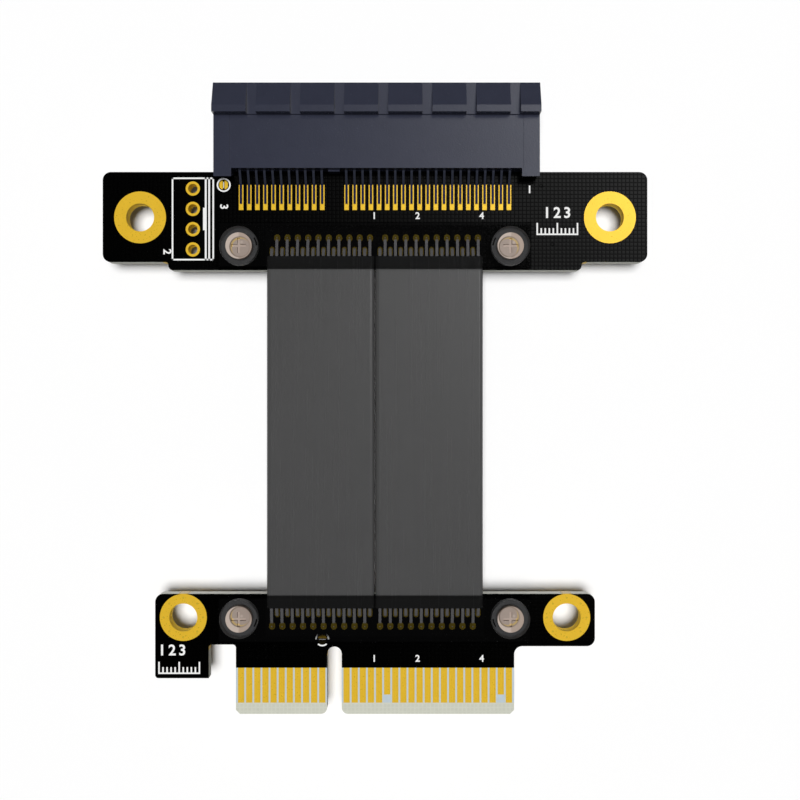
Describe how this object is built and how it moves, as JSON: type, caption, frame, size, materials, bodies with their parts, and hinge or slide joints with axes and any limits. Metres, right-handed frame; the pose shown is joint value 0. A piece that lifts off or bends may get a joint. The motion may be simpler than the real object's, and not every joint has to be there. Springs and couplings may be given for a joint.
{
  "type": "pcie riser card",
  "caption": "Card slot on a small black board, joined by two flat grey ribbon cables to a second board with a gold-fingered card edge.",
  "frame": {"origin": "centre of the bounding box's underside, under the middle of the ribbon cables' span", "axes": "+Y out of the card slot's mouth, +Z towards the front of both boards, +X along the slot to the right"},
  "size_m": [0.0672, 0.077, 0.0088],
  "materials": {
    "solder_mask_board": "gloss",
    "gold_plate": "polished",
    "slot_plastic": "satin",
    "contact_metal": "satin",
    "clear_cover": "gloss",
    "nylon_screw": "satin",
    "tinned_wire": "satin",
    "foil_shield": "satin",
    "cable_jacket": "satin"
  },
  "bodies": {
    "root": {"slot_board": "solder_mask_board", "slot_board_mount_rings": "gold_plate", "slot_board_jumper_pads": "gold_plate", "slot_front_pads": "gold_plate", "slot_rear_pads": "gold_plate", "slot_housing": "slot_plastic", "slot_front_contacts": "contact_metal", "slot_rear_contacts": "contact_metal", "slot_end_cover": "clear_cover", "slot_end_cover_screws": "nylon_screw", "plug_board": "solder_mask_board", "plug_board_mount_rings": "gold_plate", "plug_board_test_pads": "gold_plate", "edge_fingers_front": "gold_plate", "edge_fingers_rear": "gold_plate", "plug_end_cover": "clear_cover", "plug_end_cover_screws": "nylon_screw", "left_ribbon_wires": "tinned_wire", "left_ribbon_foil": "foil_shield", "left_ribbon_jacket": "cable_jacket", "right_ribbon_wires": "tinned_wire", "right_ribbon_foil": "foil_shield", "right_ribbon_jacket": "cable_jacket"}
  },
  "joints": []
}
